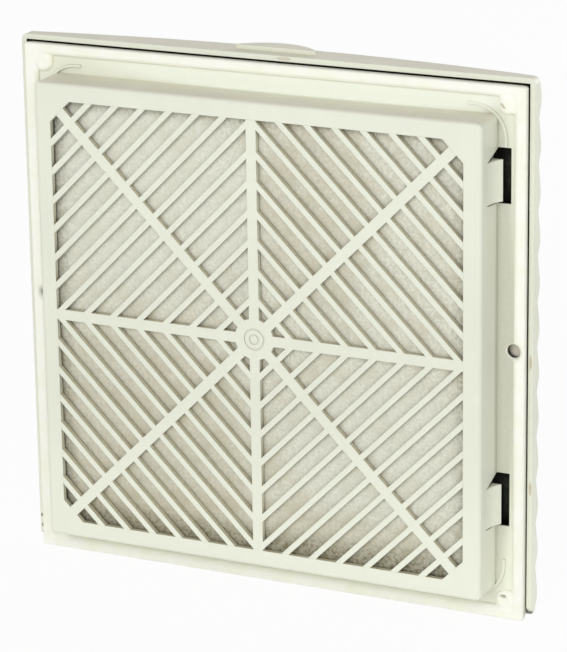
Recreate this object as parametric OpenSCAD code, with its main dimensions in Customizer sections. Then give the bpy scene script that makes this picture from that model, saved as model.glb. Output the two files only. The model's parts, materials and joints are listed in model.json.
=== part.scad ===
// Louvred vent filter for a sheet metal cabinet: a snap-in box with a star grille and a
// mounting flange, a filter mat, a foamed gasket, four snap latches and a hinged louvre cover.
// Origin: centre of the panel cut-out, in the plane of the flange's rear face.
// The louvres face -Y, the filter box reaches through the panel to +Y, +Z is up.

/* [Panel] */
// Side of the square cut-out in the cabinet panel
cutout_width = 223; // [180:1:260]
// Gap between the filter box and the cut-out, on each side
cutout_gap = 1; // [0.5:0.1:2]

/* [Box and flange] */
// Depth of the box behind the panel
box_depth = 20; // [16:0.5:40]
// Wall thickness of the box
wall = 2; // [1.6:0.1:3]
// Corner radius of the box
box_corner_radius = 3; // [2.7:0.1:10]
// Edge radius round the rear face of the box
box_edge_radius = 2; // [1:0.1:3]
// How far the flange stands out past the box, on each side
flange_border = 13.6; // [13:0.1:22]
// Thickness of the flange
flange_thickness = 2.6; // [2:0.1:5]
// Corner radius of the flange
flange_corner_radius = 2.5; // [1:0.1:5]

/* [Screw holes] */
// Diameter of the four corner holes
corner_hole = 4.5; // [3:0.1:5.5]
// Distance of a corner hole from the two edges of the flange
corner_hole_inset = 8.5; // [8:0.1:11]
// Diameter of the hole in the middle of each side
side_hole = 6.4; // [3:0.1:6.8]
// Distance of a side hole from the edge of the flange
side_hole_inset = 5.6; // [5.2:0.1:7]
// Height of the side holes above the centre
side_hole_height = 3.3; // [-20:0.1:20]

/* [Corner ridges] */
// Radius of the raised arc round each corner of the box
ridge_radius = 16; // [10:0.5:24]
// How far the arc stands off the box
ridge_offset = 4.6; // [3:0.1:5]
// Width of the arc
ridge_width = 1.2; // [0.8:0.1:2]
// Height of the arc above the flange
ridge_height = 1; // [0.5:0.1:2]
// Length of the straight end at each end of the arc
ridge_straight = 3; // [0:0.5:4]

/* [Rear grille] */
// Thickness of the grille plate
grille_thickness = 2.5; // [1.5:0.1:4]
// Rim left between the edge of the box and the grille opening
grille_rim = 8.25; // [6:0.25:16]
// Leg of the cut corners of the grille opening
grille_corner = 10; // [4:0.5:20]
// Width of the straight and diagonal ribs
rib_width = 5; // [3:0.1:8]
// Width of a slat
slat_width = 2.65; // [1.5:0.05:5]
// Number of slats between a corner slat and the hub, and again past it
slat_count = 6; // [3:1:8]
// Spacing of the slats along the edge of the opening
slat_pitch = 13.7; // [9:0.1:16]
// Diameter of the hub
hub_diameter = 19.5; // [14:0.5:30]
// Diameter of the outer ring mark on the hub, twice that of the inner one
hub_ring = 10.4; // [6:0.1:12]

/* [Gasket] */
// Width of the foamed bead
gasket_width = 5.8; // [4:0.1:7]
// Height of the foamed bead
gasket_height = 3; // [2:0.1:5]
// Distance of the bead from the edge of the flange
gasket_inset = 0.3; // [0.2:0.1:1]
// Radius of the loop of bead round a corner hole
gasket_loop_radius = 4.6; // [4:0.1:5]

/* [Latches] */
// Width of a snap latch
latch_width = 19; // [12:0.5:22]
// Thickness of a snap latch at its root
latch_thickness = 1.8; // [1.2:0.1:2]
// Height of the upper pair of latches above the centre
latch_upper_height = 81.5; // [60:0.5:85]
// Depth of the lower pair of latches below the centre
latch_lower_depth = 69; // [50:0.5:85]
// How far the tip of a latch stands out of the box
latch_reach = 3.2; // [2:0.1:4]
// How far the inner side of a latch leans outwards at its tip
latch_lean = 0.8; // [0.5:0.1:1.5]
// Distance of a latch tip from the flange, which is the thickest panel it holds
latch_grip = 2.2; // [1.5:0.1:4]
// Distance of the latch root from the flange
latch_root_depth = 12.4; // [10:0.1:14]
// Height of the window in the flange round a latch
window_height = 25.2; // [24:0.1:30]
// Height of the middle of a window above the middle of its latch
window_rise = 1.6; // [0:0.1:2]
// How far a window cuts into the flange
window_reach = 6.2; // [5:0.1:6.6]

/* [Filter mat] */
// Thickness of the filter mat
mat_thickness = 12; // [8:0.5:12.5]
// Gap between the mat and the walls of the box
mat_gap = 1.5; // [0.5:0.1:4]

/* [Cover] */
// Thickness of the rim
cover_wall = 2.5; // [1.6:0.1:2.6]
// Thickness of the bowed shell
shell_wall = 1.8; // [1.4:0.1:2.4]
// Radius of the cover's corners
cover_corner_radius = 3; // [1:0.5:5]
// Gap between the rim of the cover and the edge of the flange
rim_gap = 0.9; // [0.4:0.1:1.2]
// Distance of the rim from the panel side of the flange
rim_setback = 0.6; // [0.4:0.1:1.5]
// Gap between the flange and the rear of the shell
ring_gap = 0.6; // [0.5:0.1:1.5]
// Width of the shell round the opening
ring_width = 23.5; // [21:0.5:30]
// Forward bow of the louvres at the middle, over their ends
cover_bow = 11; // [4:0.5:16]
// How far the lips of the louvres stand out of the shell of the cover
lip_reach = 2.6; // [2:0.1:5]
// How far the end of a louvre runs down the shell below its lip
cheek_drop = 6; // [2:0.5:8]
// Length of the finger tab
tab_length = 40; // [25:1:60]
// Depth of the finger tab at its middle
tab_depth = 9; // [5:0.5:12]
// Height of the finger tab
tab_height = 2.1; // [1.8:0.1:5]

/* [Louvres] */
// Height of the front lip of a louvre
lip_height = 3.6; // [2:0.1:6]
// Thickness of the slanted part of a louvre
blade_thickness = 2; // [1.2:0.1:3]
// Depth of a louvre from front to rear
blade_depth = 11.5; // [8:0.5:13]
// Height left open between the rear edge of a louvre and the lip above it
sight_gap = 0.8; // [0.5:0.1:6]
// Thickness of the ribs behind the louvres
cover_rib_thickness = 2; // [1.2:0.1:4]
// Distance of the outer ribs from the middle
cover_rib_spacing = 54; // [30:1:80]

/* [Hinge and catches] */
// Diameter of the hinge pins
pin_diameter = 2.8; // [2:0.1:3]
// Running gap round a hinge pin
pin_gap = 0.1; // [0.05:0.05:0.15]
// Radius of the hinge ears and knuckles
ear_radius = 2.5; // [2.2:0.1:2.7]
// Width of an ear
ear_width = 4; // [3:0.5:8]
// Width of a knuckle
knuckle_width = 6; // [4:0.5:10]
// Distance of the ears from the middle
ear_spacing = 85; // [60:1:92]
// Distance of the hinge axis from the front of the flange
hinge_standoff = 4; // [3.8:0.1:5]
// Width of a cover catch
catch_width = 14; // [8:0.5:20]
// Thickness of a cover catch
catch_thickness = 1.6; // [1.2:0.1:2]
// Height of the nose on a cover catch
catch_nose = 0.6; // [0.3:0.1:0.8]
// Distance of the cover catches from the middle
catch_spacing = 70; // [40:1:85]

/* [Hidden] */
LOUVRES = 12;

// Colours of the mouldings, the foam and the mat
plastic = [0.90, 0.905, 0.855];
foam = [0.98, 0.985, 0.93];
fleece = [0.80, 0.79, 0.73];

// Sides of a turned shape, of a small arc and of the wide louvre arc
round_sides = 48;
arc_sides = 720;
// Overshoot of a cut past the face it opens
eps = 0.5;
// Grooves of the ring marks on the hub
hub_groove_depth = 0.4;
hub_groove_width = 0.8;
// Clearance of a turning root, beside a latch, and of pieces that pass each other
root_gap = 0.2;
side_gap = 0.4;
pass_gap = 0.3;

// Box and flange
box_half = cutout_width / 2 - cutout_gap;
chamber_half = box_half - wall;
chamber_radius = max(box_corner_radius - wall, 0.5);
flange_half = box_half + flange_border;
opening_half = box_half - grille_rim;
flange_front = -flange_thickness;
grille_front = box_depth - grille_thickness;
corner_hole_at = flange_half - corner_hole_inset;
side_hole_at = flange_half - side_hole_inset;
ridge_centre = box_half + ridge_offset - ridge_radius;

// Latches: a round root in the wall, and a flat tip that stands out of it
latch_root_x = box_half - latch_thickness / 2;
latch_root_y = latch_root_depth - root_gap - latch_thickness / 2;
latch_length = latch_root_y - latch_grip;
flare_steps = 10;

// Filter mat
mat_half = chamber_half - mat_gap;
mat_rear = grille_front - pass_gap;
mat_front = mat_rear - mat_thickness;

// Cover: its lower edge stays inside the swing of the hinge
sill_drop = 1;
rim_chamfer = 4.5;
cover_half = flange_half + rim_gap + cover_wall;
rim_rear = -rim_setback;
ring_rear = flange_front - ring_gap;
ring_front = ring_rear - shell_wall;
ring_opening = cover_half - ring_width;
cover_bottom = -flange_half + sill_drop;
louvre_front = ring_front - lip_reach - cover_bow;
louvre_radius = (cover_half * cover_half + cover_bow * cover_bow) / (2 * cover_bow);
louvre_centre = louvre_front + louvre_radius;
shell_radius = louvre_radius - lip_reach;
sweep_angle = ceil(asin(cover_half / louvre_radius)) + 1;

// Louvres: equal pitches from the top of the cover to its sill
louvre_pitch = (cover_half - cover_bottom) / LOUVRES;
blade_rise = louvre_pitch - lip_height / 2 - sight_gap;
blade_slope = (blade_rise - lip_height / 2) / blade_depth;
blade_section_height = blade_thickness * norm([1, blade_slope]);
opening_bottom = cover_bottom + (louvre_pitch - lip_height) / 2;
rib_rear = mat_front - pass_gap;

// Hinge at the lower edge, catches at the upper edge
hinge_y = flange_front - hinge_standoff;
hinge_z = -flange_half + ear_radius;
ear_inner = ear_spacing - ear_width / 2;
ear_outer = ear_spacing + ear_width / 2;
knuckle_inner = ear_outer + pass_gap;
knuckle_outer = knuckle_inner + knuckle_width;
catch_root_y = ring_rear + root_gap + catch_thickness / 2;
catch_tip_y = mat_front - 2 * pass_gap;
catch_z = chamber_half - 2 * pass_gap - catch_nose - catch_thickness / 2;

// Extrudes an XZ outline along Y from y0 to y1
module along_y(y0, y1) {
    translate([0, y1, 0])
        rotate([90, 0, 0])
            linear_extrude(y1 - y0)
                children();
}

// Outline with round corners, of a given half width and from z0 to z1
module rounded_outline(half, z0, z1, radius) {
    translate([-half, z0 + radius])
        square([2 * half, z1 - z0 - 2 * radius]);
    translate([radius - half, z0])
        square([2 * (half - radius), z1 - z0]);
    for (x = [radius - half, half - radius], z = [z0 + radius, z1 - radius])
        translate([x, z])
            circle(radius, $fn = round_sides);
}

// Square outline with round corners, centred
module rounded_square(half, radius) {
    rounded_outline(half, -half, half, radius);
}

// Section of the box in the XY plane, with its two rear edges rounded
module box_section() {
    r = box_edge_radius;
    translate([-box_half, 0])
        square([2 * box_half, box_depth - r]);
    translate([-box_half + r, 0])
        square([2 * (box_half - r), box_depth]);
    for (side = [-1, 1])
        translate([side * (box_half - r), box_depth - r])
            circle(r, $fn = round_sides);
}

// Outer form of the box: round corners, and rounded edges round the rear face
module box_form() {
    reach = 2 * box_half + 2 * eps;
    intersection() {
        along_y(0, box_depth)
            rounded_square(box_half, box_corner_radius);
        linear_extrude(reach, center = true)
            box_section();
        rotate([0, 90, 0])
            linear_extrude(reach, center = true)
                box_section();
    }
}

// Outline of the grille opening: a square with cut corners
module grille_outline() {
    h = opening_half;
    c = grille_corner;
    polygon([[h - c, h], [h, h - c], [h, c - h], [h - c, -h],
             [c - h, -h], [-h, c - h], [-h, h - c], [c - h, h]]);
}

// One slat of a quadrant, on the line x + z = c
module slat(c) {
    translate([c / 2, c / 2])
        rotate(-45)
            square([norm([c, c]), slat_width], center = true);
}

// Ribs, slats and hub of the star grille
module star_pattern() {
    h = opening_half;
    for (angle = [0, 90])
        rotate(angle)
            square([2 * h, rib_width], center = true);
    for (angle = [45, 135])
        rotate(angle)
            square([4 * h, rib_width], center = true);
    for (quadrant = [0:3], k = [-slat_count:slat_count])
        rotate(90 * quadrant)
            slat(h + k * slat_pitch);
    circle(d = hub_diameter, $fn = round_sides);
}

// Raised arc round one corner of the box, with short straight ends
module corner_ridge() {
    r = ridge_radius;
    straight = ridge_straight;
    translate([ridge_centre, ridge_centre])
        intersection() {
            difference() {
                circle(r, $fn = round_sides);
                circle(r - ridge_width, $fn = round_sides);
            }
            square(r);
        }
    translate([ridge_centre + r - ridge_width, ridge_centre - straight])
        square([ridge_width, straight]);
    translate([ridge_centre - straight, ridge_centre + r - ridge_width])
        square([straight, ridge_width]);
}

// Ear of the cover hinge, from the front of the flange
module hinge_ear() {
    translate([ear_inner, hinge_y, hinge_z])
        rotate([0, 90, 0])
            cylinder(r = ear_radius, h = ear_width, $fn = round_sides);
    translate([ear_inner, hinge_y, hinge_z - ear_radius])
        cube([ear_width, hinge_standoff, 2 * ear_radius]);
}

// Opening of the chamber that holds the mat, from y0 to y1
module chamber(y0, y1) {
    along_y(y0, y1)
        rounded_square(chamber_half, chamber_radius);
}

// Slots in the +X wall round its two latches: they narrow from the flange to the latch roots
module latch_slots() {
    half = latch_width / 2 + side_gap;
    for (height = [latch_upper_height, -latch_lower_depth])
        translate([chamber_half - eps, 0, height])
            rotate([90, 0, 90])
                linear_extrude(wall + 2 * eps)
                    polygon([[-eps, window_rise - window_height / 2],
                             [latch_root_depth, -half],
                             [latch_root_depth, half],
                             [-eps, window_rise + window_height / 2]]);
}

module filter_box() {
    color(plastic)
        difference() {
            box_form();
            chamber(-eps, grille_front);
            along_y(grille_front - eps, box_depth + eps)
                grille_outline();
            for (side = [0, 1])
                mirror([side, 0, 0])
                    latch_slots();
        }
}

// Holes of the flange on the +X side: screws, latch windows and the bore for a hinge pin
module flange_holes() {
    for (sz = [-1, 1])
        along_y(flange_front - eps, eps)
            translate([corner_hole_at, sz * corner_hole_at])
                circle(d = corner_hole, $fn = round_sides);
    along_y(flange_front - eps, eps)
        translate([side_hole_at, side_hole_height])
            circle(d = side_hole, $fn = round_sides);
    for (height = [latch_upper_height, -latch_lower_depth])
        translate([chamber_half - eps, flange_front - eps, height + window_rise - window_height / 2])
            cube([wall + window_reach + eps, flange_thickness + 2 * eps, window_height]);
    translate([ear_inner - eps, hinge_y, hinge_z])
        rotate([0, 90, 0])
            cylinder(d = pin_diameter + 2 * pin_gap, h = ear_width + 2 * eps, $fn = round_sides);
}

module mounting_flange() {
    color(plastic)
        difference() {
            union() {
                along_y(flange_front, 0)
                    rounded_square(flange_half, flange_corner_radius);
                for (side = [0, 1]) {
                    mirror([side, 0, 0])
                        hinge_ear();
                    for (low = [0, 1])
                        mirror([side, 0, 0])
                            mirror([0, 0, low])
                                along_y(0, ridge_height)
                                    corner_ridge();
                }
            }
            chamber(flange_front - eps, eps);
            for (side = [0, 1])
                mirror([side, 0, 0])
                    flange_holes();
        }
}

module rear_grille() {
    color(plastic)
        difference() {
            along_y(grille_front, box_depth)
                intersection() {
                    grille_outline();
                    star_pattern();
                }
            along_y(box_depth - hub_groove_depth, box_depth + eps)
                for (ring = [hub_ring, hub_ring / 2])
                    difference() {
                        circle(d = ring, $fn = round_sides);
                        circle(d = ring - 2 * hub_groove_width, $fn = round_sides);
                    }
        }
}

// Flat pattern of the gasket: a bead along the edge, with loops round the holes
module gasket_pattern() {
    outer = flange_half - gasket_inset;
    difference() {
        union() {
            difference() {
                rounded_square(outer, flange_corner_radius);
                square(2 * (outer - gasket_width), center = true);
            }
            for (sx = [-1, 1], sz = [-1, 1])
                translate([sx * corner_hole_at, sz * corner_hole_at])
                    circle(gasket_loop_radius, $fn = round_sides);
        }
        for (sx = [-1, 1], sz = [-1, 1])
            translate([sx * corner_hole_at, sz * corner_hole_at])
                circle(d = corner_hole, $fn = round_sides);
        for (sx = [-1, 1])
            translate([sx * side_hole_at, side_hole_height])
                circle(d = side_hole, $fn = round_sides);
    }
}

module gasket() {
    color(foam)
        along_y(0, gasket_height)
            gasket_pattern();
}

module filter_mat() {
    color(fleece)
        along_y(mat_front, mat_rear)
            square(2 * mat_half, center = true);
}

// Section of a latch: a round root, a straight inner side, and an outer side that leaves the
// wall in a flare and ends at a flat tip
module latch_section() {
    r = latch_thickness / 2;
    root = [for (a = [180:-15:0]) [r * cos(a), r * sin(a)]];
    flare = [for (i = [1:flare_steps])
        [r + latch_reach * pow(i / flare_steps, 2), -latch_length * i / flare_steps]];
    polygon(concat(root, flare, [[latch_lean - r, -latch_length]]));
}

// A snap latch of the +X side
module latch(height) {
    translate([latch_root_x, latch_root_y, height - latch_width / 2])
        linear_extrude(latch_width)
            latch_section();
}

module latch_upper_left() {
    color(plastic)
        mirror([1, 0, 0])
            latch(latch_upper_height);
}

module latch_upper_right() {
    color(plastic)
        latch(latch_upper_height);
}

module latch_lower_left() {
    color(plastic)
        mirror([1, 0, 0])
            latch(-latch_lower_depth);
}

module latch_lower_right() {
    color(plastic)
        latch(-latch_lower_depth);
}

// Everything behind a bowed front of the given radius, from z0 to z1 and back to y_rear
module bowed_block(radius, z0, z1, y_rear) {
    intersection() {
        translate([0, louvre_centre, z0])
            cylinder(r = radius, h = z1 - z0, $fn = arc_sides);
        translate([-cover_half, louvre_front - eps, z0])
            cube([2 * cover_half, y_rear - louvre_front + eps, z1 - z0]);
    }
}

// The opening for the louvres, widened by a margin, from the front back to y_rear
module opening_column(margin, y_rear) {
    half = ring_opening + margin;
    bottom = opening_bottom - margin;
    translate([-half, louvre_front - eps, bottom])
        cube([2 * half, y_rear - louvre_front + eps, half - bottom]);
}

// Hollow of the cover: behind the bowed shell, and the bay that takes the flange
module cover_hollow() {
    inner = cover_half - cover_wall;
    sill_top = cover_bottom + cover_wall;
    intersection() {
        bowed_block(shell_radius - shell_wall, sill_top, inner, ring_rear + eps);
        translate([-inner, louvre_front, sill_top])
            cube([2 * inner, ring_rear + eps - louvre_front, inner - sill_top]);
    }
    translate([-inner, ring_rear, cover_bottom - eps])
        cube([2 * inner, eps - ring_rear, inner - cover_bottom + eps]);
}

// Wedge that bevels the lower ends of the side walls
module lower_bevel() {
    translate([-cover_half - eps, 0, 0])
        rotate([90, 0, 90])
            linear_extrude(2 * cover_half + 2 * eps)
                polygon([[rim_rear + eps, cover_bottom - eps],
                         [rim_rear - rim_chamfer - eps, cover_bottom - eps],
                         [rim_rear + eps, cover_bottom + rim_chamfer + eps]]);
}

// Wall round the opening of the shell, with a pad behind each catch
module opening_wall() {
    intersection() {
        bowed_block(shell_radius, -cover_half, cover_half, ring_rear);
        union() {
            opening_column(shell_wall, ring_rear);
            for (side = [-1, 1])
                translate([side * catch_spacing - catch_width / 2, louvre_front, 0])
                    cube([catch_width, ring_rear - louvre_front, catch_z + catch_thickness]);
        }
    }
}

// Outline of the cover, from its front back to y_rear
module cover_outline(y_rear) {
    along_y(louvre_front - eps, y_rear)
        rounded_outline(cover_half, cover_bottom, cover_half, cover_corner_radius);
}

module cover_frame() {
    notch_width = knuckle_outer - ear_inner + pass_gap;
    color(plastic)
        difference() {
            union() {
                difference() {
                    intersection() {
                        bowed_block(shell_radius, cover_bottom, cover_half, rim_rear);
                        cover_outline(rim_rear);
                    }
                    cover_hollow();
                }
                opening_wall();
            }
            opening_column(0, ring_rear + eps);
            lower_bevel();
            for (side = [0, 1])
                mirror([side, 0, 0])
                    translate([ear_inner - pass_gap, hinge_y - ear_radius - pass_gap,
                               cover_bottom - eps])
                        cube([notch_width, 2 * ear_radius + hinge_standoff, 2 * ear_radius + eps]);
        }
}

module finger_tab() {
    tab_radius = (tab_length * tab_length / 4 + tab_depth * tab_depth) / (2 * tab_depth);
    tab_front = louvre_front + lip_reach;
    color(plastic)
        intersection() {
            translate([0, tab_front + tab_radius, cover_half])
                cylinder(r = tab_radius, h = tab_height, $fn = 2 * round_sides);
            translate([-tab_length / 2, tab_front - eps, cover_half])
                cube([tab_length, tab_depth + eps, tab_height]);
        }
}

// Section of a louvre: x is the distance from the bow's centre, y the height over the lip
module louvre_section() {
    r = louvre_radius;
    polygon([[r, -lip_height / 2],
             [r, lip_height / 2],
             [r - blade_depth, blade_rise],
             [r - blade_depth, blade_rise - blade_section_height],
             [r - blade_thickness, lip_height / 2 + blade_slope * blade_thickness - blade_section_height],
             [r - blade_thickness, -lip_height / 2]]);
}

// Section of a cheek: it ramps from the shell of the cover to the lip and back
module cheek_section() {
    polygon([[louvre_radius, -lip_height / 2],
             [louvre_radius, lip_height / 2],
             [shell_radius, louvre_pitch - lip_height / 2 - cheek_drop],
             [shell_radius, -lip_height / 2 - cheek_drop]]);
}

// Turns a section round the bow's centre, over the width of the cover
module bowed_sweep() {
    rotate(-90 - sweep_angle)
        rotate_extrude(angle = 2 * sweep_angle, $fn = arc_sides)
            children();
}

// Louvre k, counted from the top: a blade that reaches back through the opening, and a cheek
// in front of the shell at each end. The first one is above the opening and is all cheek.
module louvre(k) {
    lip_z = cover_half - (k - 0.5) * louvre_pitch;
    cheek_from = k == 1 ? 0 : ring_opening;
    color(plastic)
        intersection() {
            translate([0, louvre_centre, lip_z])
                union() {
                    if (k > 1)
                        intersection() {
                            bowed_sweep()
                                louvre_section();
                            translate([0, 0, -lip_z])
                                opening_slab();
                        }
                    intersection() {
                        bowed_sweep()
                            cheek_section();
                        cheek_zone(cheek_from);
                    }
                }
            cover_outline(ring_rear);
        }
}

// The part of the bow that is in line with the opening, about the bow's centre
module opening_slab() {
    translate([-ring_opening, -louvre_radius - eps, opening_bottom])
        cube([2 * ring_opening, louvre_radius, ring_opening - opening_bottom]);
}

// The parts of the bow at the two sides, from x0 outwards
module cheek_zone(x0) {
    for (side = [0, 1])
        mirror([side, 0, 0])
            translate([x0, -louvre_radius - eps, -louvre_pitch])
                cube([cover_half - x0 + eps, louvre_radius, 2 * louvre_pitch]);
}

// Rib behind the louvres at x: from the rear edges of the blades to the mat
module cover_rib(x) {
    edge = abs(x) + cover_rib_thickness / 2;
    bow = louvre_radius - sqrt(louvre_radius * louvre_radius - edge * edge);
    front = min(ring_front, louvre_front + bow + blade_depth);
    color(plastic)
        translate([x - cover_rib_thickness / 2, 0, 0]) {
            translate([0, front, opening_bottom])
                cube([cover_rib_thickness, ring_rear - front, ring_opening - opening_bottom]);
            translate([0, front, -ring_opening])
                cube([cover_rib_thickness, rib_rear - front, 2 * ring_opening]);
        }
}

module cover_rib_left() {
    cover_rib(-cover_rib_spacing);
}

module cover_rib_middle() {
    cover_rib(0);
}

module cover_rib_right() {
    cover_rib(cover_rib_spacing);
}

// Knuckle and pin of the +X side
module hinge_pin() {
    translate([knuckle_inner, hinge_y, hinge_z])
        rotate([0, 90, 0]) {
            cylinder(r = ear_radius, h = knuckle_width, $fn = round_sides);
            translate([0, 0, ear_inner - knuckle_inner])
                cylinder(d = pin_diameter, h = knuckle_inner - ear_inner, $fn = round_sides);
        }
}

module hinge_pin_left() {
    color(plastic)
        mirror([1, 0, 0])
            hinge_pin();
}

module hinge_pin_right() {
    color(plastic)
        hinge_pin();
}

// Catch at x: a spring arm under the top wall of the box, with a nose at its end
module cover_catch(x) {
    r = catch_thickness / 2;
    translate([x - catch_width / 2, catch_root_y, catch_z]) {
        rotate([0, 90, 0])
            cylinder(r = r, h = catch_width, $fn = round_sides);
        translate([0, 0, -r])
            cube([catch_width, catch_tip_y - catch_root_y, catch_thickness]);
        translate([0, catch_tip_y - catch_root_y - catch_thickness, r])
            cube([catch_width, catch_thickness, catch_nose]);
    }
}

module cover_catch_left() {
    color(plastic)
        cover_catch(-catch_spacing);
}

module cover_catch_right() {
    color(plastic)
        cover_catch(catch_spacing);
}

filter_box();
mounting_flange();
rear_grille();
gasket();
filter_mat();
latch_upper_left();
latch_upper_right();
latch_lower_left();
latch_lower_right();
cover_frame();
finger_tab();
cover_rib_left();
cover_rib_middle();
cover_rib_right();
hinge_pin_left();
hinge_pin_right();
cover_catch_left();
cover_catch_right();
for (k = [1:LOUVRES]) louvre(k);
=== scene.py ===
"""Looks, light and camera for the louvred vent filter of a cabinet.

Lengths are in metres, so a size in millimetres is written times MM. The louvres face -Y, the
filter box points to +Y and +Z is up. The camera looks at the box side, so the picture's right
hand is -X."""
import json
import math

import bmesh
import bpy
import numpy as np
from mathutils import Matrix, Vector


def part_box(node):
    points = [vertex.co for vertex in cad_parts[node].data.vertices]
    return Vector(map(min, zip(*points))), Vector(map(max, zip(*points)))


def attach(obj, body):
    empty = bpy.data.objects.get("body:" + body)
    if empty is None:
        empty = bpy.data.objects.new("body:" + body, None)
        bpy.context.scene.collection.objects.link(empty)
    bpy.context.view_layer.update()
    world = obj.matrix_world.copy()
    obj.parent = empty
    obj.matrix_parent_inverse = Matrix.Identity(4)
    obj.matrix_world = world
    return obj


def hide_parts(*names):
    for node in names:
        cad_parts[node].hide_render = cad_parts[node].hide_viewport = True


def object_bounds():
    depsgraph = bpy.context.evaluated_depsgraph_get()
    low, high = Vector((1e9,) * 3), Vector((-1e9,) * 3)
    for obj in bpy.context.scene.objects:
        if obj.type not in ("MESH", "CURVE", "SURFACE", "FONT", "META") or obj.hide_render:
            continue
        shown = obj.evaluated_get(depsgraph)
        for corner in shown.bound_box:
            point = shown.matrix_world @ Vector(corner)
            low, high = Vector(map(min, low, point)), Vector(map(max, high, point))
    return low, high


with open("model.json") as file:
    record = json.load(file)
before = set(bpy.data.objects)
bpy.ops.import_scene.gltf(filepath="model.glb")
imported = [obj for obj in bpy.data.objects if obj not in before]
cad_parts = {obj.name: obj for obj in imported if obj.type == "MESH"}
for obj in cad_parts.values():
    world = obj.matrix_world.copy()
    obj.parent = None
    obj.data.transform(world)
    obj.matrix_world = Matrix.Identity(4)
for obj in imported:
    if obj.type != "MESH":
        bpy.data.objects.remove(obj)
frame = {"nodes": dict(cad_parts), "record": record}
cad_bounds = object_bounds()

MM = 0.001
WHITE = (1, 1, 1, 1)

# The screen's gamma curve: end and slope of its straight toe, then lift and power
TOE_END, TOE_SLOPE, LIFT, POWER = 0.04045, 12.92, 0.055, 2.4


def srgb(red, green, blue):
    """Linear colour of an 8 bit screen colour: the screen's gamma curve undone."""
    c = np.array([red, green, blue]) / 255
    linear = np.where(c <= TOE_END, c / TOE_SLOPE, ((c + LIFT) / (1 + LIFT)) ** POWER)
    return (*map(float, linear), 1.0)


def toned(colour, *shares):
    """A colour with its red, green and blue each taken times its share, up to full light."""
    return (*(min(1.0, share * c) for share, c in zip(shares, colour)), 1.0)


# Distances from the middle of the part: the edge of the grille's opening, the flange's edge, and
# the inner side of the cover's rim
OPENING_EDGE = 102.25 * MM
FLANGE_EDGE = 124.1 * MM
RIM_INSIDE = 125 * MM
# Screw holes of the flange, and how much wider the foam's hole is than the flange's
mounts = {mount["name"]: mount for mount in frame["record"]["mounts"]}
side_screws = mounts["side_screws"]
corner_screws = mounts["corner_screws"]
HOLE_CLEARANCE = 0.05 * MM
SIDE_HOLE = (side_screws["dims"]["spacing_x_mm"] / 2 * MM, side_screws["pos_m"][2])
SIDE_HOLE_RADIUS = side_screws["dims"]["hole_r_mm"] * MM + HOLE_CLEARANCE
CORNER_HOLE = corner_screws["dims"]["spacing_x_mm"] / 2 * MM

# Nodes of the materials

# Sockets of a Mix node that carry the share, the two colours and the result
SHARE_IN, COLOUR_A_IN, COLOUR_B_IN, COLOUR_OUT = 0, 6, 7, 2


def add_node(tree, kind, inputs=(), **settings):
    """A new node of the tree with the given settings. Each of inputs is linked if it comes from
    another node, and otherwise it is a value."""
    node = tree.nodes.new(kind)
    for key, value in settings.items():
        setattr(node, key, value)
    for key, value in dict(inputs).items():
        if isinstance(value, bpy.types.NodeSocket):
            tree.links.new(value, node.inputs[key])
        else:
            node.inputs[key].default_value = value
    return node


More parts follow.
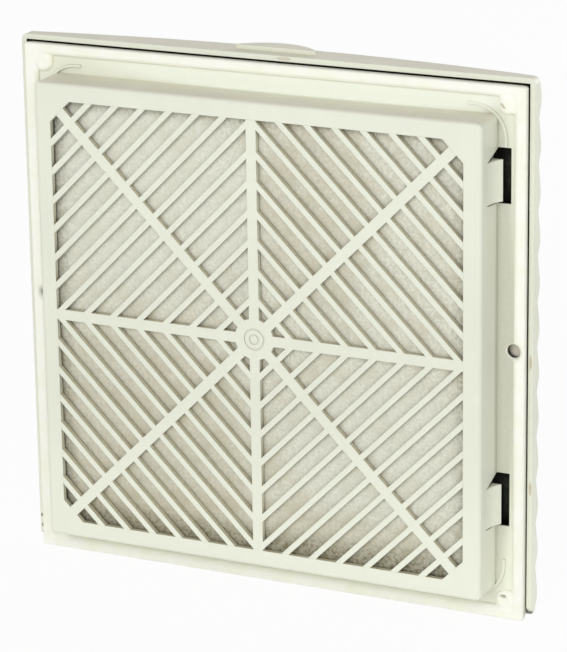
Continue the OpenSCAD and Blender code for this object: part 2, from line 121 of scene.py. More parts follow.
class Finish:
    """A Principled material that reads Object coordinates, with short calls for its nodes."""

    def __init__(self, name, roughness, specular):
        self.material = bpy.data.materials.new(name)
        self.material.use_nodes = True
        self.tree = self.material.node_tree
        self.shader = self.tree.nodes["Principled BSDF"]
        self.shader.inputs["Roughness"].default_value = roughness
        self.shader.inputs["Specular IOR Level"].default_value = specular
        coordinates = self.node("ShaderNodeTexCoord").outputs
        self.place = coordinates["Object"]
        self.facing = coordinates["Normal"]
        self.x, self.y, self.z = self.parts(self.place)

    def node(self, kind, inputs=(), **settings):
        """A new node of this material, as add_node makes it."""
        return add_node(self.tree, kind, inputs, **settings)

    def parts(self, vector):
        """The X, Y and Z of a vector."""
        return self.node("ShaderNodeSeparateXYZ", {"Vector": vector}).outputs

    def turned(self, scale, angle):
        """Object coordinates, turned and stretched."""
        inputs = {"Vector": self.place, "Scale": scale, "Rotation": angle}
        return self.node("ShaderNodeMapping", inputs).outputs[0]

    def noise(self, size, detail, rough, vector=None, distortion=0.0):
        """Cloudy noise whose features are about size metres across."""
        inputs = {"Vector": vector or self.place, "Scale": 1 / size, "Detail": detail,
                  "Roughness": rough, "Distortion": distortion}
        return self.node("ShaderNodeTexNoise", inputs).outputs["Fac"]

    def span(self, value, low, high, to_low=0.0, to_high=1.0):
        """value carried from low..high to to_low..to_high by a smooth step, held at its ends."""
        inputs = {"Value": value, "From Min": low, "From Max": high, "To Min": to_low,
                  "To Max": to_high}
        step = self.node("ShaderNodeMapRange", inputs, interpolation_type="SMOOTHSTEP")
        return step.outputs[0]

    def maths(self, operation, a, b=0.0):
        """The result of an operation on one or two values."""
        return self.node("ShaderNodeMath", {0: a, 1: b}, operation=operation).outputs[0]

    def unsigned(self, value):
        """A value without its sign."""
        return self.maths("ABSOLUTE", value)

    def larger(self, a, b):
        """The larger of two values."""
        return self.maths("MAXIMUM", a, b)

    def rest_of(self, share):
        """1 less a share."""
        return self.maths("SUBTRACT", 1.0, share)

    def product(self, *values):
        """All the values taken times each other."""
        total = values[0]
        for value in values[1:]:
            total = self.maths("MULTIPLY", total, value)
        return total

    def off_middle(self):
        """Distance from the middle of the filter in X or in Z, whichever is more."""
        return self.larger(self.unsigned(self.x), self.unsigned(self.z))

    def vector(self, operation, a, b=(0, 0, 0)):
        """The outputs of an operation on one or two vectors."""
        return self.node("ShaderNodeVectorMath", {0: a, 1: b}, operation=operation).outputs

    def mix(self, share, a, b):
        """Colour a turned towards colour b by share."""
        inputs = {SHARE_IN: share, COLOUR_A_IN: a, COLOUR_B_IN: b}
        return self.node("ShaderNodeMix", inputs, data_type="RGBA").outputs[COLOUR_OUT]

    def openness(self, reach, closed, clear):
        """1 in the open and 0 in corners and gaps narrower than reach. closed and clear are the
        shares of open sky that count as 0 and as 1."""
        sky = self.node("ShaderNodeAmbientOcclusion", {"Distance": reach}, samples=8)
        return self.span(sky.outputs["AO"], closed, clear)

    def blotted(self, colour, blots, patchy):
        """colour with blots over it. Each fades out round its ellipsoid, broken up by patchy."""
        for centre, half, strength, stain in blots:
            away = self.vector("SUBTRACT", self.place, centre)[0]
            away = self.vector("MULTIPLY", away, [1 / size for size in half])[0]
            reach = self.vector("LENGTH", away)["Value"]
            share = self.product(self.span(reach, 0.7, 1.1, strength, 0.0),
                                 self.span(patchy, 0.3, 0.6, 0.8, 1.0))
            colour = self.mix(share, colour, stain)
        return colour

    def finish(self, colour, bumps, rounding=0.0, roughness=None):
        """Links the colour, the roughness, and bumps given as (height, depth in metres), over
        edges that look rounded."""
        links = self.tree.links
        links.new(colour, self.shader.inputs["Base Color"])
        if roughness is not None:
            links.new(roughness, self.shader.inputs["Roughness"])
        normal = None
        if rounding:
            normal = self.node("ShaderNodeBevel", {"Radius": rounding}, samples=4).outputs[0]
        for height, depth in bumps:
            inputs = {"Height": height, "Distance": depth, "Strength": 1.0}
            if normal is not None:
                inputs["Normal"] = normal
            normal = self.node("ShaderNodeBump", inputs).outputs[0]
        links.new(normal, self.shader.inputs["Normal"])
        return self.material


# Mouldings

MOULDED_EDGE = 0.35 * MM
LIGHT_GREY = srgb(236, 238, 222)
COVER_GREY = srgb(232, 234, 217)
# Painted black shade for hollows and gaps
SHADE_BLACK = srgb(4, 4, 3)
SPECK = srgb(176, 166, 138)
# Grime and painted shade for corners and creases
GRIME_AND_SHADE = srgb(168, 163, 136)
# Beige tint for faces that look up
UP_FACING_BEIGE = srgb(228, 223, 203)
# Olive tint
OLIVE_TINT = srgb(178, 168, 132)
# Shares of red, green and blue in the clouds, the flow marks and the painted light of the lower part
CLOUD_TONE = (0.965, 0.965, 0.965)
FLOW_TONE = (0.95, 0.955, 0.93)
LOWER_LIGHT_TONE = (1.09, 1.09, 1.09)
# Depth of a hollow that no light gets out of, and the shares of sky between which it is painted black as
# shade
HOLLOW, HOLLOW_SKY = 22 * MM, (0.02, 0.13)
# The same for the painted black shade on the walls that a window of the flange shows
WINDOW_HOLLOW, WINDOW_SKY = 26 * MM, (0.44, 0.74)


def shade_behind_flange(f):
    """Where black painted shade goes: 1 on the walls below the flange's rear face, such as those of
    its windows, and less on the lower part of the flange's outer edge."""
    deep = f.span(f.y, -0.9 * MM, -0.2 * MM, 1.0, 0.0)
    edge = f.span(f.unsigned(f.x), FLANGE_EDGE - 0.9 * MM, FLANGE_EDGE - 0.3 * MM)
    low = f.span(f.z, -60 * MM, 40 * MM, 0.85, 0.0)
    return f.product(deep, f.rest_of(f.product(edge, low)))


def shade_inside_cover(f):
    """Where black painted shade goes: 1 on the inner faces of the cover: the rear of the shell and
    the rim's two inner sides, less where a screw hole of the flange shows them."""
    facing_rear = f.parts(f.facing)["Y"]
    shell = f.product(f.span(facing_rear, 0.5, 0.8), f.span(f.y, -2.6 * MM, -2.2 * MM, 1.0, 0.0))
    out = f.unsigned(f.x)
    past_inside = f.span(out, RIM_INSIDE - 0.8 * MM, RIM_INSIDE - 0.2 * MM)
    short_of_outside = f.span(out, RIM_INSIDE + 0.6 * MM, RIM_INSIDE + 1.4 * MM, 1.0, 0.0)
    wall = f.span(facing_rear, 0.3, 0.6, 1.0, 0.0)
    beside_flange = f.span(f.y, -4.0 * MM, -3.4 * MM)
    upper = f.span(f.z, -100 * MM, 20 * MM)
    rim = f.product(wall, past_inside, short_of_outside, beside_flange, upper)
    from_hole = f.unsigned(f.maths("SUBTRACT", f.z, SIDE_HOLE[1]))
    return f.product(f.larger(shell, rim), f.span(from_hole, 5 * MM, 9 * MM))


def slat_sides(f):
    """1 on the side walls of the grille's slats and of its opening, where they face up."""
    facing = f.parts(f.facing)
    wall = f.span(f.unsigned(facing["Y"]), 0.3, 0.6, 1.0, 0.0)
    facing_up = f.span(facing["Z"], -0.5, 0.4)
    in_opening = f.span(f.off_middle(), OPENING_EDGE + 0.35 * MM, OPENING_EDGE + 0.95 * MM, 1.0, 0.0)
    in_grille = f.span(f.y, 12 * MM, 14 * MM)
    return f.product(wall, facing_up, in_opening, in_grille)


def moulding_finish(name, tone, shade_mask=None, olive_mask=None, blots=()):
    """Satin light grey moulding: faint clouds and flow marks, a fine grain and specks, grime and
    painted shade in corners, painted black shade in hollows, painted light towards the bottom, a
    beige tint on faces that look up, and blots. What the shade mask picks out is painted black as
    shade where little light reaches it, and what the olive mask picks out turns olive."""
    f = Finish(name, roughness=0.42, specular=0.5)
    clouds = f.noise(size=45 * MM, detail=3.0, rough=0.6)
    flow = f.noise(size=6 * MM, detail=2.0, rough=0.5, vector=f.turned((1, 1, 0.25), (0, 0.5, 0)))
    grain = f.noise(size=0.7 * MM, detail=2.0, rough=0.7)
    patchy = f.noise(size=1.6 * MM, detail=4.0, rough=0.75)
    colour = f.mix(f.span(clouds, 0.35, 0.65), tone, toned(tone, *CLOUD_TONE))
    colour = f.mix(f.span(flow, 0.3, 0.8, 0.0, 0.35), colour, toned(tone, *FLOW_TONE))
    colour = f.mix(f.span(patchy, 0.745, 0.80, 0.0, 0.45), colour, SPECK)
    # Grime and painted shade: darker where corners and creases hide the sky
    grime_and_shade = f.rest_of(f.openness(2.6 * MM, 0.08, 0.85))
    colour = f.mix(f.product(grime_and_shade, 0.5), colour, GRIME_AND_SHADE)
    # Painted shade: hollows that hide the sky turn black
    colour = f.mix(f.openness(HOLLOW, *HOLLOW_SKY), SHADE_BLACK, colour)
    # Painted light: lighter towards the bottom
    low = f.span(f.z, -112 * MM, -20 * MM, 0.9, 0.0)
    colour = f.mix(low, colour, toned(tone, *LOWER_LIGHT_TONE))
    # A beige tint on faces that look up
    facing_up = f.span(f.parts(f.facing)["Z"], 0.4, 0.9, 0.0, 0.8)
    colour = f.mix(f.product(facing_up, f.span(flow, 0.25, 0.7, 0.75, 1.0)), colour, UP_FACING_BEIGE)
    colour = f.blotted(colour, blots, patchy)
    # An olive tint on what the olive mask picks out
    if olive_mask:
        olive_share = f.product(olive_mask(f), f.span(patchy, 0.3, 0.6, 0.4, 0.65))
        colour = f.mix(olive_share, colour, OLIVE_TINT)
    if shade_mask:
        # Painted shade: what the shade mask picks out turns black where little sky is open
        unlit = f.rest_of(f.openness(WINDOW_HOLLOW, *WINDOW_SKY))
        colour = f.mix(f.product(shade_mask(f), unlit), colour, SHADE_BLACK)
    bumps = ((grain, 0.02 * MM), (flow, 0.05 * MM))
    return f.finish(colour, bumps, MOULDED_EDGE, roughness=f.span(clouds, 0.3, 0.7, 0.36, 0.5))


# Foam of the gasket

FOAM_WHITE, FOAM_CREAM = srgb(255, 255, 247), srgb(252, 252, 237)
# Colour of the painted shade where the bead meets the flange
FOAM_SHADE = srgb(178, 164, 124)
PORE_SIZE = 0.9 * MM
# Distances from the middle between which the painted beige shade ends
SHADE_END = (120 * MM, 122 * MM)


def foam_finish():
    """Cream foam skin: soft pores, and painted beige shade where the bead meets the flange."""
    f = Finish("gasket_foam_skin", roughness=0.78, specular=0.3)
    cells = {"Vector": f.place, "Scale": 1 / PORE_SIZE, "Randomness": 1.0}
    pores = f.node("ShaderNodeTexVoronoi", cells).outputs["Distance"]
    soft = f.noise(size=12 * MM, detail=2.0, rough=0.6)
    colour = f.mix(f.span(soft, 0.35, 0.7), FOAM_WHITE, FOAM_CREAM)
    # Painted shade where the bead meets the flange and little sky is open
    shade = f.rest_of(f.openness(2.6 * MM, 0.1, 0.9))
    inner = f.span(f.off_middle(), *SHADE_END, 0.4, 0.0)
    colour = f.mix(f.product(shade, inner), colour, FOAM_SHADE)
    return f.finish(colour, ((f.span(pores, 0.0, 0.5), 0.03 * MM), (soft, 0.15 * MM)))


# Fleece of the mat

FIBRE_DULL, FIBRE_PALE, FIBRE_WHITE = srgb(214, 212, 196), srgb(233, 234, 221), srgb(243, 244, 234)
CLUMP_GREY, PATCH_BEIGE = srgb(190, 191, 178), srgb(205, 198, 171)
# Colours of the painted shade in the fleece's gaps and along its edges
FLEECE_SHADE, FLEECE_EDGE_SHADE = srgb(160, 150, 118), srgb(108, 99, 64)
# Width of the fibres, the four ways they run, and how much more each way tilts than the last
FIBRE_SIZE = 1.1 * MM
FIBRE_ANGLES = (0.15, 0.95, 1.75, 2.6)
FIBRE_TILT_STEP = 0.25


def fleece_finish(blots):
    """Matted white fibres: a soft speckle with faint streaks, grey and beige patches, lighter and
    darker blots, painted shade in gaps and hollows, and painted olive shade along the lower edge and in
    the corners of the grille."""
    f = Finish("filter_fleece_fibres", roughness=0.95, specular=0.15)
    streaks = None
    for k, angle in enumerate(FIBRE_ANGLES):
        along = f.turned((1.0, 1.0, 0.3), (FIBRE_TILT_STEP * k, angle, 0))
        fibre = f.noise(FIBRE_SIZE, detail=3.0, rough=0.65, vector=along, distortion=0.6)
        streaks = fibre if streaks is None else f.larger(streaks, fibre)
    speckle = f.noise(size=1.4 * MM, detail=3.0, rough=0.6)
    clumps = f.noise(size=6 * MM, detail=3.0, rough=0.6)
    patches = f.noise(size=11 * MM, detail=3.0, rough=0.55, vector=f.turned((1, 1, 1), (0.4, 0.3, 0)))
    colour = f.mix(f.span(speckle, 0.30, 0.68), FIBRE_DULL, FIBRE_PALE)
    colour = f.mix(f.span(streaks, 0.58, 0.74, 0.0, 0.35), colour, FIBRE_WHITE)
    colour = f.mix(f.span(clumps, 0.45, 0.7, 0.0, 0.30), colour, CLUMP_GREY)
    colour = f.mix(f.span(patches, 0.46, 0.64, 0.0, 0.34), colour, PATCH_BEIGE)
    colour = f.blotted(colour, blots, patches)
    # Painted shade in the gaps beside the slats
    shade = f.rest_of(f.openness(4 * MM, 0.1, 0.8))
    colour = f.mix(f.product(shade, 0.35), colour, FLEECE_SHADE)
    # Painted shade along the lower edge and in the corners of the grille
    low = f.span(f.z, -101 * MM, -87 * MM, 1.0, 0.0)
    high = f.span(f.z, 96 * MM, 103 * MM, 0.0, 0.6)
    side = f.span(f.unsigned(f.x), 94 * MM, 103 * MM, 0.0, 0.6)
    edge = f.larger(f.larger(low, high), side)
    olive_share = f.product(edge, f.span(speckle, 0.3, 0.6, 1.0, 0.55), 0.85)
    colour = f.mix(olive_share, colour, FLEECE_EDGE_SHADE)
    # Painted shade: hollows of the fleece that hide the sky turn black
    colour = f.mix(f.openness(HOLLOW, *HOLLOW_SKY), SHADE_BLACK, colour)
    return f.finish(colour, ((speckle, 0.14 * MM), (streaks, 0.12 * MM), (clumps, 0.4 * MM)))


# Distances, reliefs and slabs

# Shortest and longest wave of a relief, as shares of the length asked for
WAVE_LENGTHS = (0.7, 1.5)
# Points of a slab that lie closer than this are one point
WELD = 0.0001 * MM
# Grid lines that agree to this many decimals are one line
GRID_DECIMALS = 9


def smooth_min(a, b, k):
    """The smaller of two distances, blended over a band of width k: a times a share that rises
    from 0 to 1 as a falls below b, plus b times the rest, less k times the share and the rest."""
    share = np.clip(0.5 + 0.5 * (b - a) / k, 0, 1)
    return b * (1 - share) + a * share - k * share * (1 - share)


def rounded_box(x, z, half, radius):
    """Signed distance to a square of the given half width with round corners: the distance to
    the smaller square that the corners' centres span, less the radius."""
    qx, qz = np.abs(x) - (half - radius), np.abs(z) - (half - radius)
    outside = np.hypot(np.maximum(qx, 0), np.maximum(qz, 0))
    inside = np.minimum(np.maximum(qx, qz), 0)
    return outside + inside - radius


def waves(x, z, length, seed, count=7):
    """A smooth random relief from -1 to 1: a mean of sines in random directions."""
    rng = np.random.default_rng(seed)
    angle, phase = rng.uniform(0, 2 * np.pi, (2, count))
    rate = 2 * np.pi / (length * rng.uniform(*WAVE_LENGTHS, count))
    total = sum(np.sin(r * (x * np.cos(a) + z * np.sin(a)) + p)
                for r, a, p in zip(rate, angle, phase))
    return total / count


def grid_lines(*stretches):
    """Grid lines: one even run for each (start, end, spacing), joined in order."""
    runs = [np.linspace(a, b, max(2, round((b - a) / step) + 1)) for a, b, step in stretches]
    return np.unique(np.round(np.concatenate(runs), GRID_DECIMALS))


def slab_from_heights(name, x, z, keep, rear, front):
    """A closed solid between two height grids over the cells of keep. x, z, rear and front are
    grids of vertices; a wall joins the two sheets round the kept cells."""
    n, m = x.shape
    index = np.arange(n * m).reshape(n, m)
    corners = [index[:-1, :-1], index[1:, :-1], index[1:, 1:], index[:-1, 1:]]
    near = np.stack([c[keep] for c in corners], 1)
    faces = [near, near[:, ::-1] + n * m]
    padded = np.pad(keep, 1)
    sides = ((padded[:-2, 1:-1], 0, 3), (padded[2:, 1:-1], 2, 1),
             (padded[1:-1, :-2], 1, 0), (padded[1:-1, 2:], 3, 2))
    for neighbour, a, b in sides:
        edge = keep & ~neighbour
        p, q = corners[a][edge], corners[b][edge]
        faces.append(np.stack([p, q, q + n * m, p + n * m], 1))
    points = np.concatenate([np.stack([x, front, z], -1).reshape(-1, 3),
                             np.stack([x, rear, z], -1).reshape(-1, 3)])
    used, faces = np.unique(np.concatenate(faces), return_inverse=True)
    mesh = bpy.data.meshes.new(name)
    mesh.from_pydata(points[used], [], faces.reshape(-1, 4).tolist())
    work = bmesh.new()
    work.from_mesh(mesh)
    bmesh.ops.remove_doubles(work, verts=work.verts, dist=WELD)
    bmesh.ops.recalc_face_normals(work, faces=work.faces)
    work.to_mesh(mesh)
    work.free()
    mesh.shade_smooth()
    piece = bpy.data.objects.new(name, mesh)
    bpy.context.scene.collection.objects.link(piece)
    return piece


# Bead of the gasket

# The band along the flange, its loops over the corner holes and its collars round the side holes
BAND_WIDTH = 5.6 * MM
BAND_CORNER, BAND_INNER_CORNER = 1.1 * MM, 2 * MM
LOOP_RADIUS, LOOP_BLEND = 4.9 * MM, 1.6 * MM
COLLAR, COLLAR_BLEND = 0.5 * MM, 1.2 * MM
# How far the foam reaches past the box of its solid above and below, and its height to its width
OVERHANG = 0.25 * MM
HEIGHT_TO_WIDTH = 124.05 / 124.55
# The section: an upright outer side whose edge is rounded, and a wide round towards the inside
OUTER_ROUNDING, UPRIGHT = 0.5 * MM, 0.7
INNER_ROUNDING = 2.8 * MM
# Length of the slow wave along the bead, its share of the height and its seed
SLOW_WAVE, WAVE_SHARE, WAVE_SEED = 22 * MM, 0.03, 3
# Slits that the foam leaves open over two of the corner holes: place, half sizes and tilt
SLITS = ((-113.2 * MM, 114.9 * MM, 1.0 * MM, 0.26 * MM, 0.85),
         (-114.6 * MM, -113.4 * MM, 1.2 * MM, 0.5 * MM, 0.1))
# Distance at the middle of a slit, over its short half size
SLIT_SLOPE = 4
# Dimples where the foam has closed: place and depth
DIMPLES = ((114.8 * MM, 114.8 * MM, 0.5 * MM),
           (114.8 * MM, -114.8 * MM, 0.5 * MM),
           (-116.0 * MM, -115.8 * MM, 0.3 * MM))
# Radius of a dimple, and the share of the bead's height that it takes at most
DIMPLE_RADIUS, DIMPLE_LIMIT = 1.3 * MM, 0.5
# Spacings of the grid, and the stretches that need the fine one: past the loops, and in height
# round the side holes
FINE, COARSE = 0.4 * MM, 3 * MM
FINE_FROM = CORNER_HOLE - 7 * MM
SIDE_HOLE_LOW, SIDE_HOLE_HIGH = -3 * MM, 10 * MM
# Moves that bring the outer points onto the outline, the step that its slope is taken over, and
# the least square of a slope
PULLS, SLOPE_STEP, LEAST_STEEPNESS = 3, 0.02 * MM, 0.2


def gasket_edges(x, z, outer):
    """Signed distances to the foam's outer edge and to its inner outline, negative in the
    foam. The inner outline blends the band with the loops and collars, less slits and holes."""
    inner = -rounded_box(x, z, outer - BAND_WIDTH, BAND_INNER_CORNER)
    loop = np.hypot(np.abs(x) - CORNER_HOLE, np.abs(z) - CORNER_HOLE) - LOOP_RADIUS
    inner = smooth_min(inner, loop, LOOP_BLEND)
    side = np.hypot(np.abs(x) - SIDE_HOLE[0], z - SIDE_HOLE[1])
    inner = smooth_min(inner, side - SIDE_HOLE_RADIUS - COLLAR, COLLAR_BLEND)
    inner = np.maximum(inner, SIDE_HOLE_RADIUS - side)
    for slit_x, slit_z, long, short, tilt in SLITS:
        along = (x - slit_x) * math.cos(tilt) + (z - slit_z) * math.sin(tilt)
        across = (z - slit_z) * math.cos(tilt) - (x - slit_x) * math.sin(tilt)
        slit = SLIT_SLOPE * short * (1 - np.hypot(along / long, across / short))
        inner = np.maximum(inner, slit)
    return rounded_box(x * HEIGHT_TO_WIDTH, z, outer, BAND_CORNER), inner


def gasket_distance(x, z, outer):
    """Signed distance to the foam's whole outline: the larger of its two distances."""
    return np.maximum(*gasket_edges(x, z, outer))


def slope(x, z, outer, dx, dz):
    """Slope of the distance to the outline along a short step dx, dz: the difference of the
    distances a step ahead and a step behind, over twice the step's length."""
    ahead = gasket_distance(x + dx, z + dz, outer)
    behind = gasket_distance(x - dx, z - dz, outer)
    return (ahead - behind) / (2 * SLOPE_STEP)


def pulled_to_outline(x, z, outer):
    """The grid with its points outside the foam pulled onto the outline: each moves down the
    slope of the distance, by the distance times the slope over its square."""
    for _ in range(PULLS):
        out = np.maximum(gasket_distance(x, z, outer), 0)
        along_x = slope(x, z, outer, SLOPE_STEP, 0)
        along_z = slope(x, z, outer, 0, SLOPE_STEP)
        steepness = np.maximum(along_x * along_x + along_z * along_z, LEAST_STEEPNESS)
        x, z = x - out * along_x / steepness, z - out * along_z / steepness
    return x, z


def quarter_round(depth):
    """A quarter circle: 0 at depth 0, and 1 from depth 1 on."""
    return np.sqrt(1 - (1 - np.clip(depth, 0, 1)) ** 2)


def gasket_bead():
    """The foamed bead: its height is a steep quarter round of the distance to the outer edge or
    a wide one of the distance to the inner outline, whichever is less, with a slow wave and
    small dimples."""
    low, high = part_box("gasket")
    outer, base, height = high.x + OVERHANG, low.y, high.y - low.y
    side = outer / HEIGHT_TO_WIDTH
    across = grid_lines((-side, -FINE_FROM, FINE), (-FINE_FROM, FINE_FROM, COARSE),
                        (FINE_FROM, side, FINE))
    up = grid_lines((-outer, -FINE_FROM, FINE), (-FINE_FROM, SIDE_HOLE_LOW, COARSE),
                    (SIDE_HOLE_LOW, SIDE_HOLE_HIGH, FINE), (SIDE_HOLE_HIGH, FINE_FROM, COARSE),
                    (FINE_FROM, outer, FINE))
    x, z = np.meshgrid(across, up, indexing="ij")
    solid = gasket_distance(x, z, outer) < 0
    keep = solid[:-1, :-1] | solid[1:, :-1] | solid[1:, 1:] | solid[:-1, 1:]
    x, z = pulled_to_outline(x, z, outer)
    rim, inner = gasket_edges(x, z, outer)
    bead = np.minimum(UPRIGHT + (1 - UPRIGHT) * quarter_round(-rim / OUTER_ROUNDING),
                      quarter_round(-inner / INNER_ROUNDING))
    bead *= height * (1 - WAVE_SHARE + WAVE_SHARE * waves(x, z, SLOW_WAVE, WAVE_SEED))
    for dimple_x, dimple_z, drop in DIMPLES:
        away = np.hypot(x - dimple_x, z - dimple_z) / DIMPLE_RADIUS
        bead -= np.minimum(drop, DIMPLE_LIMIT * bead) * np.exp(-away ** 2)
    return slab_from_heights("gasket_bead", x, z, keep, base + bead, np.full_like(x, base))


# Filter mat

# Spacing of the mat's grid
MAT_SPACING = 1.3 * MM
# Width of the edge that sinks, and where from the middle to the tip a corner starts to sink
SINKING_EDGE, CORNER_FROM = 5 * MM, 1.35
# Reliefs that are added up: wave length, seed, number of waves and share
RELIEFS = ((5 * MM, 11, 11, 0.5), (2.8 * MM, 12, 13, 0.35), (24 * MM, 13, 7, 0.5))
# Depths below the mat's solid: everywhere, of the relief, at the edge and at a corner's tip
REAR_INSET, REAR_RELIEF, REAR_EDGE, REAR_CORNER = 0.5 * MM, 0.35 * MM, 1.6 * MM, 2.2 * MM
FRONT_INSET, FRONT_RELIEF, FRONT_EDGE = 0.45 * MM, 0.3 * MM, 1.2 * MM


def fleece_mat():
    """The fleece mat: a square slab with a matted relief on both faces, which sink towards the
    edges as an exponential of the distance to the edge. The rear face also sinks towards the
    corners, as the square of the way to the tip."""
    low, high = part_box("filter_mat")
    half, rear_y, front_y = high.x, high.y, low.y
    line = grid_lines((-half, half, MAT_SPACING))
    x, z = np.meshgrid(line, line, indexing="ij")
    edge = half - np.maximum(np.abs(x), np.abs(z))
    to_tip = (np.abs(x) + np.abs(z) - CORNER_FROM * half) / ((2 - CORNER_FROM) * half)
    corner = np.clip(to_tip, 0, 1)
    rim = np.exp(-edge / SINKING_EDGE)
    relief = sum(share * waves(x, z, length, seed, count) for length, seed, count, share in RELIEFS)
    rear = rear_y - (REAR_INSET + REAR_RELIEF * relief + REAR_EDGE * rim + REAR_CORNER * corner ** 2)
    front = front_y + (FRONT_INSET - FRONT_RELIEF * relief + FRONT_EDGE * rim)
    keep = np.ones((len(line) - 1, len(line) - 1), bool)
    return slab_from_heights("fleece_mat", x, z, keep, rear, front)


# Stains, tints, painted light and painted shade


def blot(centre, half, strength, colour):
    """A blot of a finish: its centre and half sizes in millimetres, its strength and colour."""
    return [MM * size for size in centre], [MM * size for size in half], strength, colour


STAIN, MOULD, HOLE_LIGHT = srgb(168, 146, 96), srgb(92, 102, 78), srgb(253, 244, 224)
# Stains on the cover's right side, left side and top, and painted light on the inside of the cover
# behind the side screw hole
RIM_STAINS_AND_HOLE_LIGHT = (blot((-126.2, -1, -1.5), (0.8, 3, 3.8), 0.5, STAIN),
             blot((-126.4, -1, -61), (0.8, 3, 3.6), 0.5, STAIN),
             blot((126.6, -1, -110.5), (0.7, 3, 1.0), 0.8, MOULD),
             blot((126.4, -1, -115.6), (0.6, 3, 1.1), 0.8, MOULD),
             blot((-7, -1, 126.3), (4, 3, 0.9), 0.35, STAIN),
             blot((-118.5, -5, 3.3), (5, 6, 5), 0.9, HOLE_LIGHT))
STRIP_SHADE, STRIP_LIGHT = srgb(166, 164, 148), srgb(250, 255, 244)
# Painted shade on the flange's strip on the right, and painted light on its strip on top
STRIP_LIGHT_AND_SHADE = (blot((-109, 0, 0), (11, 3, 125), 0.5, STRIP_SHADE),
               blot((-20, 0, 117), (115, 4, 9), 0.6, STRIP_LIGHT))
FLEECE_LIGHTER, FLEECE_DARKER = srgb(240, 243, 234), srgb(190, 182, 156)
# Lighter and darker areas of the fleece
FLEECE_BLOTS = (blot((60, 0, 62), (75, 60, 55), 0.32, FLEECE_LIGHTER),
                blot((-62, 0, -45), (60, 60, 40), 0.25, FLEECE_LIGHTER),
                blot((62, 0, -52), (75, 60, 62), 0.34, FLEECE_DARKER),
                blot((-30, 0, 62), (34, 60, 60), 0.26, FLEECE_DARKER),
                blot((0, 0, -92), (110, 60, 16), 0.3, FLEECE_DARKER))

# Pieces and their finishes

light_grey = moulding_finish("moulded_light_grey", LIGHT_GREY, shade_behind_flange, slat_sides, STRIP_LIGHT_AND_SHADE)
cover_grey = moulding_finish("moulded_cover_grey", COVER_GREY)
shell_grey = moulding_finish("moulded_shell_grey", COVER_GREY, shade_inside_cover, blots=RIM_STAINS_AND_HOLE_LIGHT)
foam = foam_finish()
fleece = fleece_finish(FLEECE_BLOTS)

bodies = frame["record"]["behaviour"]["bodies"]
for name, node in frame["nodes"].items():
    finish = light_grey
    if name in bodies["cover"] or name.startswith("cover_catch"):
        finish = cover_grey
    if name == "cover_frame":
        finish = shell_grey
    node.data.materials.clear()
    node.data.materials.append(finish)

bead = gasket_bead()
bead.data.materials.append(foam)
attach(bead, "frame")
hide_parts("gasket")

mat = fleece_mat()
mat.data.materials.append(fleece)
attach(mat, "frame")
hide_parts("filter_mat")

# Floor and light

FLOOR_HALF = 6.0
FLOOR_GAP = 0.05 * MM
FLOOR_GREY = (0.94, 0.94, 0.93, 1)
# Share of plain white in what the camera sees of the floor. The rest is shaded, and so keeps the
# object's shadow
FLOOR_WHITENESS = 0.94
# Strength of the sky at the horizon and overhead
HORIZON, OVERHEAD = 0.79, 0.28


def camera_ray_share(tree):
    """1 for rays that show the background straight, in gloss or through glass, else 0."""
    rays = tree.nodes.new("ShaderNodeLightPath").outputs
    total = rays["Is Camera Ray"]
    for kind in ("Is Glossy Ray", "Is Transmission Ray"):
        total = add_node(tree, "ShaderNodeMath", {0: total, 1: rays[kind]},
                         operation="MAXIMUM").outputs[0]
    return total


def floor_finish():
    """White floor: mostly plain white to the camera, with a share of true shading for shadow."""
    material = bpy.data.materials.new("floor_white")
    material.use_nodes = True
    tree = material.node_tree
    tree.nodes.remove(tree.nodes["Principled BSDF"])
    shaded = add_node(tree, "ShaderNodeBsdfDiffuse", {"Color": FLOOR_GREY})
    plain = add_node(tree, "ShaderNodeEmission", {"Color": WHITE})
    share = add_node(tree, "ShaderNodeMath", {0: camera_ray_share(tree), 1: FLOOR_WHITENESS},
                     operation="MULTIPLY")
    both = add_node(tree, "ShaderNodeMixShader",
                    {0: share.outputs[0], 1: shaded.outputs[0], 2: plain.outputs[0]})
    tree.links.new(both.outputs[0], tree.nodes["Material Output"].inputs["Surface"])
    return material


def white_floor():
    """A flat square floor just below the lowest point of the part."""
    ground = cad_bounds[0].z - FLOOR_GAP
    corners = [(x * FLOOR_HALF, y * FLOOR_HALF, ground) for x, y in ((-1, -1), (1, -1), (1, 1), (-1, 1))]
    mesh = bpy.data.meshes.new("floor")
    mesh.from_pydata(corners, [], [(0, 1, 2, 3)])
    mesh.materials.append(floor_finish())
    floor = bpy.data.objects.new("floor", mesh)
    bpy.context.scene.collection.objects.link(floor)
    return floor


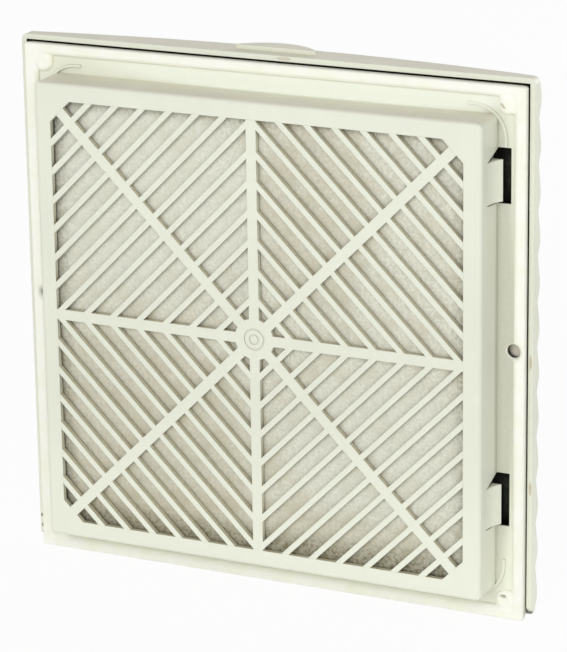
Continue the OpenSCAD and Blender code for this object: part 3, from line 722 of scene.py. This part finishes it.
def studio_sky():
    """A white sky that fades from the horizon upwards, and is plain white to the camera."""
    world = bpy.data.worlds.new("studio")
    world.use_nodes = True
    tree = world.node_tree
    direction = tree.nodes.new("ShaderNodeTexCoord").outputs["Generated"]
    height = add_node(tree, "ShaderNodeSeparateXYZ", {0: direction}).outputs["Z"]
    ambient = add_node(tree, "ShaderNodeMapRange",
                       {"Value": height, "To Min": HORIZON, "To Max": OVERHEAD})
    level = add_node(tree, "ShaderNodeMapRange",
                     {"Value": camera_ray_share(tree), "To Min": ambient.outputs[0], "To Max": 1.0})
    sky = tree.nodes["Background"]
    sky.inputs["Color"].default_value = WHITE
    tree.links.new(level.outputs[0], sky.inputs["Strength"])
    return world


def softbox(name, place, watts, size):
    """A square area lamp at place that faces the origin."""
    data = bpy.data.lights.new(name, "AREA")
    data.energy = watts
    data.size = size
    lamp = bpy.data.objects.new(name, data)
    lamp.location = place
    lamp.rotation_euler = Vector(place).to_track_quat("Z", "Y").to_euler()
    bpy.context.scene.collection.objects.link(lamp)


floor = white_floor()
bpy.context.scene.world = studio_sky()
softbox("key_light", (-0.45, 1.85, 0.75), watts=18, size=1.4)
softbox("front_light", (-1.0, -1.7, 0.5), watts=15, size=1.2)

# Camera

YAW, PITCH, ROLL = map(math.radians, (25.73, 17.25, -0.88))
DISTANCE = 1.491
TARGET = Vector((-5.2 * MM, 0, 1.3 * MM))
# Focal length and height of the photograph in pixels, and width of the sensor in millimetres
FOCAL_PIXELS, PICTURE_HEIGHT = 3255, 652
SENSOR_WIDTH = 36


def photo_camera():
    """A camera at the photograph's angle: DISTANCE back from TARGET, turned by YAW, raised by
    PITCH and tilted by ROLL, with a lens of FOCAL_PIXELS over the picture's height."""
    back = Vector((-math.sin(YAW) * math.cos(PITCH), math.cos(YAW) * math.cos(PITCH), math.sin(PITCH)))
    level_right = Vector((-math.cos(YAW), -math.sin(YAW), 0))
    level_up = back.cross(level_right)
    right = math.cos(ROLL) * level_right + math.sin(ROLL) * level_up
    up = back.cross(right)
    turn = Matrix((right, up, back)).transposed().to_4x4()
    data = bpy.data.cameras.new("camera")
    data.sensor_width = SENSOR_WIDTH
    data.lens = FOCAL_PIXELS * SENSOR_WIDTH / PICTURE_HEIGHT
    camera = bpy.data.objects.new("camera", data)
    camera.matrix_world = Matrix.Translation(TARGET + back * DISTANCE) @ turn
    bpy.context.scene.collection.objects.link(camera)
    return camera


bpy.context.scene.camera = photo_camera()
bpy.context.scene.view_settings.view_transform = "Standard"
